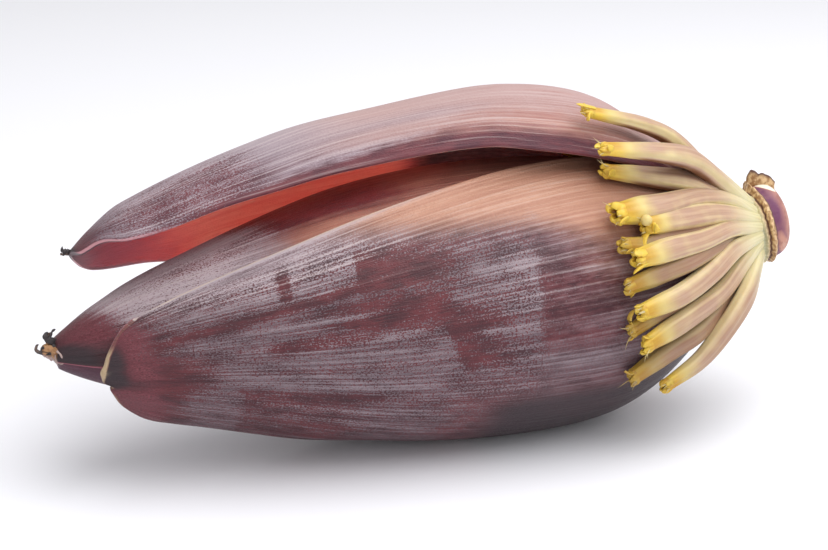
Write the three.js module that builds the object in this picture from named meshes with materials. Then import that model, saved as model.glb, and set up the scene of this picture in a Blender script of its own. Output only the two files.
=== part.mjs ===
// A banana blossom, cut from its plant and lying on its side: the closed bud of wrapped bracts, one bract
// lifted off it, a large bract still round its front and underside, the short peduncle with the dry scar of a
// bract that fell, the double row of flowers which that bract had covered, and the flowers under the lifted one.
//
// Frame: millimetres, +Z up, resting on z = 0, with the origin under the middle of the whole blossom. The bud
// lies along X with its tip at -X and the peduncle at +X. Stations are measured along it, and angles round it
// in degrees from the front: 0 is -Y, 90 is up, 180 is +Y and 270 is down.
import * as THREE from "three";

// ---- driving dimensions -------------------------------------------------------------------------------------
const MIDDLE = { station: 11.67, y: -0.41 }; // of the whole blossom, from the bud's axis at station 0
const AXIS_HEIGHT = 44.2; // the bud's axis above the surface it lies on
const STEM_RISE = 14.5; // how far the peduncle curves up from the bud's axis
const STEM_BEND = { start: 62, length: 68 };

const BUD_PROFILE = [
  // outer radius of the wrapped bud at stations along it, tip to base
  [-115, 1.5],
  [-108, 6.5],
  [-96, 12.8],
  [-72, 22.8],
  [-47, 31],
  [-22, 37.8],
  [5, 42],
  [32, 43.4],
  [58, 42],
  [76, 37.5],
  [92, 29],
  [106, 18.5],
  [118, 11],
  [130, 9],
];
const BRACT_THICKNESS = 1.3;
const FRONT_BRACT_STAND_OFF = 2; // its outer face outside the bud's profile
const HEART_DEPTH = 2.1; // the closed heart's surface inside the bud's profile

const RAISED = { tip: -104, base: 112, tipRound: 6, midrib: 116, thickness: 1.8, liftAt: 108 };
const FLOWER_GAP = 0.4; // between a flower and the bract it lies on
const FLOWER_FLATNESS = 0.8; // height over width
const FLOWER_WIDTH = spline([[0, 2.3], [0.2, 3.1], [0.5, 4.2], [0.8, 5], [0.93, 5.6], [1, 4]]); // root to tip

// ---- helpers ------------------------------------------------------------------------------------------------
// A smooth function through [x, value] points.
function spline(points) {
  const slopes = points.map((point, i) => {
    const [x0, y0] = points[Math.max(i - 1, 0)];
    const [x1, y1] = points[Math.min(i + 1, points.length - 1)];
    return (y1 - y0) / (x1 - x0);
  });
  return (x) => {
    const at = THREE.MathUtils.clamp(x, points[0][0], points.at(-1)[0]);
    let i = 0;
    while (i < points.length - 2 && at > points[i + 1][0]) i += 1;
    const [x0, y0] = points[i];
    const [x1, y1] = points[i + 1];
    const step = x1 - x0;
    const t = (at - x0) / step;
    const s = 1 - t;
    return (
      (1 + 2 * t) * s * s * y0 +
      t * s * s * step * slopes[i] +
      t * t * (3 - 2 * t) * y1 +
      t * t * (t - 1) * step * slopes[i + 1]
    );
  };
}

const budRadius = spline(BUD_PROFILE);

function axisHeight(station) {
  const t = THREE.MathUtils.clamp((station - STEM_BEND.start) / STEM_BEND.length, 0, 1.25);
  return AXIS_HEIGHT + STEM_RISE * t ** 1.8;
}

// A vector this long at this angle round the bud.
function outward(length, degrees) {
  const angle = THREE.MathUtils.degToRad(degrees);
  return new THREE.Vector3(0, -length * Math.cos(angle), length * Math.sin(angle));
}

// The point at a station, this far from the bud's axis, at this angle round it.
function around(station, radius, degrees) {
  return outward(radius, degrees).add(new THREE.Vector3(station, 0, axisHeight(station)));
}

// Bracts are soft: the bud's weight presses flat what would be lower than this.
function pressed(point, lowest) {
  point.z = Math.max(point.z, lowest);
  return point;
}

function solid(points, faces) {
  const geometry = new THREE.BufferGeometry().setFromPoints(points);
  geometry.setIndex(faces.flat());
  geometry.computeVertexNormals();
  return geometry;
}

// A closed sheet between two surfaces, each a function of u (0 at the tip, 1 at the base) and v (-1 at the near
// edge, 1 at the far edge).
function sheet(outer, inner, rows, columns) {
  const points = [];
  for (const surface of [outer, inner])
    for (let i = 0; i <= rows; i += 1)
      for (let j = 0; j <= columns; j += 1) points.push(surface(i / rows, (2 * j) / columns - 1));
  const wide = columns + 1;
  const layer = (rows + 1) * wide;
  const faces = [];
  const quad = (a, b, c, d) => faces.push([a, b, c], [a, c, d]);
  for (let i = 0; i < rows; i += 1) {
    for (let j = 0; j < columns; j += 1) {
      const a = i * wide + j;
      quad(a, a + wide, a + wide + 1, a + 1);
      quad(layer + a, layer + a + 1, layer + a + wide + 1, layer + a + wide);
    }
    const near = i * wide;
    const far = near + columns;
    quad(near, layer + near, layer + near + wide, near + wide);
    quad(far, far + wide, layer + far + wide, layer + far);
  }
  for (let j = 0; j < columns; j += 1) {
    const base = rows * wide + j;
    quad(j, j + 1, layer + j + 1, layer + j);
    quad(base, layer + base, layer + base + 1, base + 1);
  }
  return solid(points, faces);
}

// A closed solid through rings of points, with a fan over each end.
function skinned(rings) {
  const points = rings.flat();
  const sides = rings[0].length;
  const faces = [];
  for (let i = 0; i + 1 < rings.length; i += 1)
    for (let k = 0; k < sides; k += 1) {
      const a = i * sides + k;
      const b = i * sides + ((k + 1) % sides);
      faces.push([a, b + sides, b], [a, a + sides, b + sides]);
    }
  for (const [ring, first, turn] of [
    [rings[0], 0, false],
    [rings.at(-1), (rings.length - 1) * sides, true],
  ]) {
    const middle = ring.reduce((sum, point) => sum.add(point), new THREE.Vector3()).divideScalar(sides);
    const centre = points.push(middle) - 1;
    for (let k = 0; k < sides; k += 1) {
      const a = first + k;
      const b = first + ((k + 1) % sides);
      faces.push(turn ? [centre, b, a] : [centre, a, b]);
    }
  }
  return solid(points, faces);
}

// ---- bracts wrapped round the bud ---------------------------------------------------------------------------
// near and far are the edges, in degrees from the midrib, as functions of u. loose is how far the bract stands
// off at u, most at the angle looseAt.
function wrappedBract({ tip, base, tipRound = 0, midrib, near, far, standOff, loose, looseAt = 0 }, columns) {
  const ROWS = 18;
  const surface = (depth) => (u, v) => {
    const station = tip + (base - tip) * u + tipRound * v * v * (1 - u) ** 6;
    const degrees = midrib + v * (v < 0 ? near(u) : far(u));
    const opening = loose ? loose(u) * Math.max(Math.cos(THREE.MathUtils.degToRad(0.8 * (degrees - looseAt))), 0) : 0;
    const lowest = FRONT_BRACT_STAND_OFF - standOff + depth;
    return pressed(around(station, Math.max(budRadius(station) + standOff + opening - depth, 0.6), degrees), lowest);
  };
  return sheet(surface(0), surface(BRACT_THICKNESS), ROWS, columns);
}

function frontBract() {
  const shape = {
    tip: -99,
    base: 110.5,
    tipRound: 7,
    midrib: -18,
    near: spline([[0, 36], [0.05, 60], [0.13, 70], [0.25, 76], [0.45, 90], [0.65, 100], [1, 104]]),
    far: spline([[0, 36], [0.05, 58], [0.13, 63], [0.25, 70], [0.45, 82], [0.65, 98], [1, 104]]),
    standOff: FRONT_BRACT_STAND_OFF,
    loose: spline([[0, 7.5], [0.1, 5.8], [0.3, 2.2], [0.55, 0.8], [1, 0.4]]),
    looseAt: -30,
  };
  return wrappedBract(shape, 24);
}

function upperBract() {
  const shape = {
    tip: -114,
    base: 107,
    midrib: 95,
    near: spline([[0, 113], [0.1, 122], [0.3, 126], [1, 120]]),
    far: () => 118,
    standOff: 0,
  };
  return wrappedBract(shape, 18);
}

// ---- the lifted bract ---------------------------------------------------------------------------------------
const raisedNear = spline([[0, 20], [0.08, 66], [0.25, 66], [0.46, 62], [0.66, 70], [0.81, 74], [0.93, 70], [1, 63]]);
const raisedFar = spline([[0, 20], [0.08, 76], [0.25, 78], [0.46, 74], [0.66, 72], [1, 76]]);
const raisedRadius = spline([[0, 10], [0.08, 21], [0.25, 29], [0.46, 37], [0.66, 42.5], [0.81, 39], [0.93, 25.5], [1, 18.5]]);
const raisedLift = spline([[0, 15], [0.08, 19], [0.25, 24], [0.46, 24], [0.66, 24], [0.81, 21.5], [0.93, 11.5], [1, 5.5]]);

function raisedBract() {
  const surface = (depth) => (u, v) => {
    const station = RAISED.tip + (RAISED.base - RAISED.tip) * u + RAISED.tipRound * v * v * (1 - u) ** 6;
    const degrees = RAISED.midrib + v * (v < 0 ? raisedNear(u) : raisedFar(u));
    return around(station, raisedRadius(u) - depth, degrees).add(outward(raisedLift(u), RAISED.liftAt));
  };
  return sheet(surface(0), surface(RAISED.thickness), 20, 12);
}

// How far the lifted bract's outer face is from the bud's axis.
function raisedReach(station, degrees) {
  const u = (station - RAISED.tip) / (RAISED.base - RAISED.tip);
  const off = THREE.MathUtils.degToRad(degrees - RAISED.liftAt);
  const lift = raisedLift(u);
  return lift * Math.cos(off) + Math.sqrt(raisedRadius(u) ** 2 - (lift * Math.sin(off)) ** 2);
}

// ---- the closed heart of the bud ----------------------------------------------------------------------------
function closedHeart() {
  const FROM = -110;
  const TO = 104;
  const ROWS = 18;
  const SIDES = 20;
  const rings = [];
  for (let i = 0; i <= ROWS; i += 1) {
    const station = FROM + ((TO - FROM) * i) / ROWS;
    const radius = budRadius(station) - HEART_DEPTH;
    const ring = [];
    for (let k = 0; k < SIDES; k += 1)
      ring.push(pressed(around(station, radius, (360 * k) / SIDES), FRONT_BRACT_STAND_OFF + HEART_DEPTH));
    rings.push(ring);
  }
  return skinned(rings);
}

// ---- peduncle -----------------------------------------------------------------------------------------------
// Its sections stand square to the curving axis. [station, radius, raggedness] from inside the bud to the cut.
function peduncle() {
  const SIDES = 24;
  const PROFILE = [
    [107.5, 7, 0],
    [112, 9.8, 0],
    [116, 12.2, 0],
    [121, 12.4, 0],
    [123.6, 11.9, 0],
    [124.2, 14.2, 0.5],
    [127.6, 14.4, 0.6],
    [128.2, 12.6, 0],
    [130, 12.8, 0],
    [132, 12.1, 0],
    [133.6, 9.8, 0],
    [134.6, 6.6, 0],
  ];
  const rings = PROFILE.map(([station, radius, ragged]) => {
    const along = new THREE.Vector3(1, 0, axisHeight(station + 0.5) - axisHeight(station - 0.5)).normalize();
    const up = new THREE.Vector3(-along.z, 0, along.x);
    const ring = [];
    for (let k = 0; k < SIDES; k += 1) {
      const angle = (2 * Math.PI * k) / SIDES;
      const reach = radius + ragged * (Math.sin(3 * angle + 1) + 0.6 * Math.sin(7 * angle));
      const point = new THREE.Vector3(station, -reach * Math.cos(angle), axisHeight(station));
      ring.push(point.addScaledVector(up, reach * Math.sin(angle)));
    }
    return ring;
  });
  return skinned(rings);
}

// ---- flowers ------------------------------------------------------------------------------------------------
// Each runs from its root on the peduncle to its tip: angles at root and tip, the tip's station, and how far
// it stands off what it lies on. The open hand, top to bottom; the outer row roots further along the stem.
const OUTER = { root: { station: 119, radius: 14.2 }, width: 1 };
const INNER = { root: { station: 115.4, radius: 14.8 }, width: 0.92 };
const OPEN_HAND = [
  { ...OUTER, rootAt: 82, tipAt: 73, tip: 58, standOff: 3, lies: "raised" },
  { ...OUTER, rootAt: 68, tipAt: 61, tip: 58, standOff: 2.4, lies: "raised" },
  { ...INNER, rootAt: 56, tipAt: 61, tip: 62, standOff: 0.3 },
  { ...OUTER, rootAt: 48, tipAt: 44, tip: 59, standOff: 3.6 },
  { ...OUTER, rootAt: 37, tipAt: 36, tip: 67, standOff: 4.4 },
  { ...INNER, rootAt: 32, tipAt: 32, tip: 57, standOff: 0 },
  { ...OUTER, rootAt: 26, tipAt: 25, tip: 63, standOff: 4.4 },
  { ...INNER, rootAt: 20, tipAt: 17, tip: 60, standOff: 0 },
  { ...OUTER, rootAt: 14, tipAt: 9, tip: 64, standOff: 4.2 },
  { ...INNER, rootAt: 8, tipAt: 1, tip: 57, standOff: 0 },
  { ...OUTER, rootAt: 2, tipAt: -6, tip: 66, standOff: 4.4 },
  { ...INNER, rootAt: -8, tipAt: -21, tip: 61, standOff: 0 },
  { ...OUTER, rootAt: -14, tipAt: -36, tip: 78, standOff: 8 },
];
// The flowers under the lifted bract lie on the bud in one row.
const COVERED = { root: { station: 108.4, radius: 18.8 }, width: 0.95, standOff: 0.4 };
const COVERED_HAND = [94, 106, 118, 130, 142, 154].map((degrees, i) => ({
  ...COVERED,
  rootAt: degrees,
  tipAt: degrees - 2,
  tip: i % 2 ? 71 : 66,
}));

function flower({ root, rootAt, tipAt, tip, width, standOff, lies }) {
  const STEPS = 10;
  const SIDES = 8;
  const halfWidth = (t) => (FLOWER_WIDTH(t) * width) / 2;
  const halfHeight = (t) => halfWidth(t) * FLOWER_FLATNESS;
  const line = [0, 0.1, 0.2, 0.35, 0.55, 0.78, 1].map((t) => {
    const degrees = THREE.MathUtils.lerp(rootAt, tipAt, t);
    if (t === 0) return around(root.station, root.radius, degrees);
    const station = THREE.MathUtils.lerp(root.station, tip, t);
    const bractTop = degrees > 90 ? 0 : FRONT_BRACT_STAND_OFF + 0.6;
    const surface = lies === "raised" ? raisedReach(station, degrees) : budRadius(station) + bractTop;
    const clear = surface + FLOWER_GAP + halfHeight(t) + standOff * Math.min(1, 3.5 * t);
    return around(station, Math.max(clear, root.radius), degrees);
  });
  const curve = new THREE.CatmullRomCurve3(line);
  const rings = [];
  for (let i = 0; i <= STEPS; i += 1) {
    const t = i / STEPS;
    const centre = curve.getPointAt(t);
    const along = curve.getTangentAt(t);
    const out = new THREE.Vector3(0, centre.y, centre.z - axisHeight(centre.x));
    const side = new THREE.Vector3().crossVectors(out, along).normalize();
    out.crossVectors(along, side).normalize();
    const ring = [];
    for (let k = 0; k < SIDES; k += 1) {
      const angle = (2 * Math.PI * (k + 0.5)) / SIDES;
      const point = centre.clone().addScaledVector(out, halfHeight(t) * Math.cos(angle));
      ring.push(point.addScaledVector(side, halfWidth(t) * Math.sin(angle)));
    }
    rings.push(ring);
  }
  return skinned(rings);
}

// ---- the blossom --------------------------------------------------------------------------------------------
const materials = {
  bract: new THREE.MeshStandardMaterial({ color: 0x7a4a54, roughness: 0.6 }),
  heart: new THREE.MeshStandardMaterial({ color: 0x5c2f3c, roughness: 0.5 }),
  peduncle: new THREE.MeshStandardMaterial({ color: 0xc9bb8a, roughness: 0.55 }),
  flower: new THREE.MeshStandardMaterial({ color: 0xe3cf96, roughness: 0.45 }),
};

const blossom = new THREE.Group();
blossom.position.set(-MIDDLE.station, -MIDDLE.y, 0);

function add(name, geometry, material) {
  const mesh = new THREE.Mesh(geometry, material);
  mesh.name = name;
  blossom.add(mesh);
}

add("closed_heart", closedHeart(), materials.heart);
add("bract_upper", upperBract(), materials.bract);
add("bract_front", frontBract(), materials.bract);
add("bract_raised", raisedBract(), materials.bract);
add("peduncle", peduncle(), materials.peduncle);
OPEN_HAND.forEach((shape, i) =>
  add(`flower_${String(i + 1).padStart(2, "0")}`, flower(shape), materials.flower),
);
COVERED_HAND.forEach((shape, i) => add(`covered_flower_${i + 1}`, flower(shape), materials.flower));

export default blossom;
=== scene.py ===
"""The looks of a banana blossom lying on a pale table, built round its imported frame.

Shapes are worked out in millimetres in the bud's own coordinates, as the CAD part's are: stations along the
bud with its tip at the low end, and degrees round it, 0 to the front, 90 up and 180 to the back.
"""
import math

import bpy
import numpy as np
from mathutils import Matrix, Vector


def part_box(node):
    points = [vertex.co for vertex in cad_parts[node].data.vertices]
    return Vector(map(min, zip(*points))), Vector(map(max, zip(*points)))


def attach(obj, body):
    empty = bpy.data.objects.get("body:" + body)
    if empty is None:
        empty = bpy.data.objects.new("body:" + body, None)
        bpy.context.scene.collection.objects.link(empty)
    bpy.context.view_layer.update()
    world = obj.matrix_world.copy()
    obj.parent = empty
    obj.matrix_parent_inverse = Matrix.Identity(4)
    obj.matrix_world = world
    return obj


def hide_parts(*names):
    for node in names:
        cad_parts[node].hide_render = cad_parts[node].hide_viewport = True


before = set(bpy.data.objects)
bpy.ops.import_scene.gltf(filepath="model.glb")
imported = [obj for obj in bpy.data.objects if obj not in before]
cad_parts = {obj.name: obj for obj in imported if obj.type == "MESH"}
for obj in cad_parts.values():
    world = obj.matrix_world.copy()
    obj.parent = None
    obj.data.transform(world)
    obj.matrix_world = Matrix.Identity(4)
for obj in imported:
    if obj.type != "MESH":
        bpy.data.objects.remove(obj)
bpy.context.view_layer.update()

MM = 0.001
HEART_BASE = 104.0  # station of the closed heart's base
AXIS_HEIGHT = 44.2  # of the bud's straight part, above the table
heart_low, heart_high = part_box("closed_heart")
STATION_ZERO = heart_high[0] / MM - HEART_BASE
AXIS_Y = (heart_low[1] + heart_high[1]) / 2 / MM


# ---- numbers ----
def curve(*points):
    """A smooth function through (x, value) points."""
    xs, ys = np.array(points, float).T
    before = np.r_[0, np.arange(len(xs) - 1)]
    after = np.r_[np.arange(1, len(xs)), len(xs) - 1]
    slopes = (ys[after] - ys[before]) / (xs[after] - xs[before])

    def at(x):
        x = np.clip(np.asarray(x, float), xs[0], xs[-1])
        i = np.clip(np.searchsorted(xs, x) - 1, 0, len(xs) - 2)
        step = xs[i + 1] - xs[i]
        t = (x - xs[i]) / step
        s = 1 - t
        return (
            (1 + 2 * t) * s * s * ys[i]
            + t * s * s * step * slopes[i]
            + t * t * (3 - 2 * t) * ys[i + 1]
            + t * t * (t - 1) * step * slopes[i + 1]
        )

    return at


def ease(low, high, x):
    """0 below low, 1 above high and smooth between; high may be under low."""
    t = np.clip((np.asarray(x, float) - low) / (high - low), 0, 1)
    return t * t * (3 - 2 * t)


def noise(x, y, seed):
    """Smooth noise from -1 to 1 with about one bump in each unit square."""
    x, y = np.broadcast_arrays(np.asarray(x, float), np.asarray(y, float))
    column, row = np.floor(x), np.floor(y)
    across, along = ease(0, 1, x - column), ease(0, 1, y - row)

    def corner(dx, dy):
        n = np.sin((column + dx) * 127.1 + (row + dy) * 311.7 + seed * 74.7) * 43758.5453
        return 2 * (n - np.floor(n)) - 1

    low = corner(0, 0) * (1 - across) + corner(1, 0) * across
    high = corner(0, 1) * (1 - across) + corner(1, 1) * across
    return low * (1 - along) + high * along


def spot(x, y, cx, cy, wide, high, soft=0.35):
    """1 inside an ellipse and 0 outside it, with a soft edge."""
    reach = np.hypot((x - cx) / wide, (y - cy) / high)
    return ease(1 + soft, 1 - soft, reach)


def stroke(x, y, start, end, wide):
    """1 on the line between two points and 0 beyond a distance from it."""
    (x0, y0), (x1, y1) = start, end
    dx, dy = x1 - x0, y1 - y0
    t = np.clip(((x - x0) * dx + (y - y0) * dy) / (dx**2 + dy**2), 0, 1)
    return ease(wide, wide * 0.3, np.hypot(x - x0 - t * dx, y - y0 - t * dy))


def channels(*values):
    """Numbers and arrays brought to one shape, side by side along a new last axis."""
    return np.stack(np.broadcast_arrays(*values), -1)


# ---- places ----
def axis_height(station):
    """The height of the bud's axis, which is level at first and rises towards the stem."""
    bend_from, bend_length, rise = 62, 68, 14.5
    bend = np.clip((np.asarray(station, float) - bend_from) / bend_length, 0, 1.25)
    return AXIS_HEIGHT + rise * bend**1.8


bud_radius = curve(
    (-115, 1.5), (-108, 6.5), (-96, 12.8), (-72, 22.8), (-47, 31), (-22, 37.8), (5, 42),
    (32, 43.4), (58, 42), (76, 37.5), (92, 29), (106, 18.5), (118, 11), (130, 9),
)


def outward(length, degrees):
    """A step of that length square to the bud's axis."""
    angle = np.radians(degrees)
    return channels(0, -length * np.cos(angle), length * np.sin(angle))


def around(station, radius, degrees):
    """The point at a station, a radius and an angle round the bud's axis."""
    point = outward(radius, degrees)
    point[..., 0] += station
    point[..., 2] += axis_height(station)
    return point


def spaced(length, step, ends=(0.12, 0.3, 0.55, 0.9, 1.4, 2.1)):
    """Places from 0 to 1 along a length, close together at both ends so that a rim can be round."""
    ends = np.array(ends) / length
    middle = np.linspace(ends[-1], 1 - ends[-1], max(int(length / step), 4))
    return np.r_[0, ends[:-1], middle, 1 - ends[-2::-1], 1]


def tip_droop(station):
    """How far the inner bracts' tip hangs below the bud's straight axis."""
    return curve((-115, 3.6), (-106, 3.1), (-97, 2.4), (-88, 1.6), (-70, 1.2), (-45, 0.5), (-20, 0))(station)


# ---- meshes ----
def unit(vectors):
    """The same vectors, 1 long."""
    return vectors / np.maximum(np.linalg.norm(vectors, axis=-1, keepdims=True), 1e-9)


def normals(points):
    """Unit normals of a grid of points."""
    return unit(np.cross(np.gradient(points, axis=0), np.gradient(points, axis=1)))


def quads(ids, flip=False):
    """The faces of a grid of vertex numbers."""
    a, b, c, d = ids[:-1, :-1], ids[1:, :-1], ids[1:, 1:], ids[:-1, 1:]
    order = (d, c, b, a) if flip else (a, b, c, d)
    return np.stack([x.ravel() for x in order], -1)


def add_object(name, data):
    """A new object in the scene."""
    made = bpy.data.objects.new(name, data)
    bpy.context.scene.collection.objects.link(made)
    return made


def piece(name, points, faces, material, slot, nodes=(), **attributes):
    """A smooth mesh piece that rides on the body. Attributes hold one number or three for each vertex."""
    mesh = bpy.data.meshes.new(name)
    world = (np.asarray(points).reshape(-1, 3) + (STATION_ZERO, AXIS_Y, 0)) * MM
    mesh.from_pydata(world.tolist(), [], faces.tolist())
    for key, values in attributes.items():
        values = np.asarray(values, np.float32)
        kind, field = ("FLOAT_VECTOR", "vector") if values.ndim > 1 else ("FLOAT", "value")
        mesh.attributes.new(key, kind, "POINT").data.foreach_set(field, values.ravel())
    mesh.shade_smooth()
    mesh.materials.append(material)
    made = add_object(name, mesh)
    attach(made, "root")
    if nodes:
        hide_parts(*nodes)


class Sheet:
    """Both faces of a thin sheet with a shared round rim, from a grid on its middle surface."""

    def __init__(self, middle, thickness, rim):
        """rim: how far each point of the grid is from the sheet's edge."""
        n, m = middle.shape[:2]
        inside = np.clip(rim / (thickness / 2), 0, 1)
        half = thickness / 2 * np.sqrt(np.clip(1 - (1 - inside) ** 2, 0, 1))
        half[0, :] = half[-1, :] = half[:, 0] = half[:, -1] = 0
        reach = normals(middle) * half[..., None]
        front = np.arange(n * m).reshape(n, m)
        back = front.copy()
        back[1:-1, 1:-1] = n * m + np.arange((n - 2) * (m - 2)).reshape(n - 2, m - 2)
        self.points = self.both(middle + reach, middle - reach)
        self.faces = np.concatenate([quads(front), quads(back, flip=True)])

    @staticmethod
    def both(front, back=None):
        """Values on the front grid and the back one, as one for each vertex."""
        back = front if back is None else back
        tail = front.shape[2:]
        return np.concatenate([front.reshape(-1, *tail), back[1:-1, 1:-1].reshape(-1, *tail)])


# ---- materials ----
def linear(*color):
    """A colour given as 0 to 255, as linear light."""
    return tuple(((c / 255 + 0.055) / 1.055) ** 2.4 if c > 10 else c / 3300 for c in color)


class Nodes:
    """Short names for building a material out of nodes. Colours are red, green and blue from 0 to 255."""

    def __init__(self, name):
        self.material = bpy.data.materials.new(name)
        self.material.use_nodes = True
        self.tree = self.material.node_tree
        self.shader = self.tree.nodes["Principled BSDF"]

    def put(self, socket, value):
        """Links a node's output to a socket, or sets the socket's value."""
        if isinstance(value, bpy.types.NodeSocket):
            self.tree.links.new(value, socket)
        elif socket.type == "RGBA":
            socket.default_value = (*linear(*value), 1)
        else:
            socket.default_value = value

    def node(self, kind, inputs, **settings):
        made = self.tree.nodes.new("ShaderNode" + kind)
        for key, value in settings.items():
            setattr(made, key, value)
        for key, value in inputs.items():
            self.put(made.inputs[key], value)
        return made

    def place(self):
        """Where a point is in the frame, in metres."""
        return self.node("TexCoord", {}).outputs["Object"]

    def attribute(self, name):
        return self.node("Attribute", {}, attribute_name=name).outputs["Vector"]

    def parts(self, vector):
        return self.node("SeparateXYZ", {0: vector}).outputs

    def cloud(self, place, scale, detail=2.0, rough=0.5):
        """Noise at a place, with that many features to a unit."""
        inputs = {"Vector": place, "Scale": scale, "Detail": detail, "Roughness": rough}
        return self.node("TexNoise", inputs).outputs[0]

    def streaks(self, grain, across, along, detail=2.0, rough=0.55):
        """Noise with features 1 / across mm wide and 1 / along mm long."""
        place = self.node("VectorMath", {0: grain, 1: (across, along, 1)}, operation="MULTIPLY").outputs[0]
        return self.cloud(place, 1.0, detail, rough)

    def math(self, operation, *values):
        return self.node("Math", dict(enumerate(values)), operation=operation).outputs[0]

    def times(self, first, second):
        return self.math("MULTIPLY", first, second)

    def sum(self, *terms):
        """The sum of numbers and of (value, weight) pairs."""
        total = 0.0
        for term in terms:
            value, weight = term if isinstance(term, tuple) else (term, 1.0)
            total = self.math("MULTIPLY_ADD", value, weight, total)
        return total

    def step(self, value, low, high):
        """0 below low, 1 above high and smooth between; high may be under low."""
        inputs = {"Value": value, "From Min": low, "From Max": high}
        return self.node("MapRange", inputs, interpolation_type="SMOOTHSTEP").outputs[0]

    def mix(self, share, first, second):
        """The first colour where the share is 0 and the second where it is 1."""
        made = self.node("Mix", {}, data_type="RGBA")
        for i, value in ((0, share), (6, first), (7, second)):
            self.put(made.inputs[i], value)
        return made.outputs[2]

    def finish(self, color, rough, height, depth, **constants):
        """Sets the colour, the roughness, a bump of that depth in mm and the shader's constants."""
        self.put(self.shader.inputs["Base Color"], color)
        self.put(self.shader.inputs["Roughness"], rough)
        bump = self.node("Bump", {"Height": height, "Distance": depth * MM, "Strength": 1.0})
        self.put(self.shader.inputs["Normal"], bump.outputs[0])
        for key, value in constants.items():
            self.shader.inputs[key.replace("_", " ")].default_value = value
        return self.material


# ---- bracts ----
class Leaf:
    """A bract's grid: shares of its length from the tip down the rows, and -1 to 1 from edge to edge."""

    def __init__(self, length, girth, row_step, column_step):
        self.length = length
        self.us = spaced(length, row_step)[:, None]
        self.vs = 2 * spaced(girth, column_step)[None, :] - 1
        self.from_tip = self.us * length

    def degrees(self, middle, near, far):
        """Angles that reach from the middle by near to one edge and by far to the other."""
        return middle + self.vs * np.where(self.vs < 0, near, far)

    def relief(self, half_girth, start, station, seed):
        """The outer side's relief in mm: fine ribs along it and a slow unevenness, fading out at the tip."""
        across = self.vs * half_girth
        fine = 0.13 * noise(across / 2.6, station / 60, seed)
        ribs = 0.16 * noise(across / 5.5, station / 80, seed + 1)
        uneven = 0.45 * noise(across / 19, station / 38, seed + 2)
        return (fine + ribs + uneven) * ease(0, start, self.from_tip)

    def sheet(self, middle, thick, half_girth):
        ends = np.minimum(self.us, 1 - self.us) * self.length
        return Sheet(middle, thick, np.minimum(ends, (1 - abs(self.vs)) * half_girth))


def bract(name, slot, node, sheet, material, grain, veil, paint, side, inner_paint=None, inner_side=None):
    """A bract's piece, with the attributes that its skin reads on its outer and its inner face.

    grain: mm across and along the fibres, and a number of the bract's own; paint: bloom, tan (rosy below 0)
    and dark, which holds dark marks and painted shade; side: inner flesh, pale edge (in places a painted
    highlight) and pale bloom with painted sheen; veil: bloom that lies in a film and not in dots.
    """
    piece(
        name, sheet.points, sheet.faces, material, slot, [node],
        grain=sheet.both(grain), paint=sheet.both(paint, inner_paint), side=sheet.both(side, inner_side),
        veil=np.clip(sheet.both(veil), 0, 1),
    )


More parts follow.
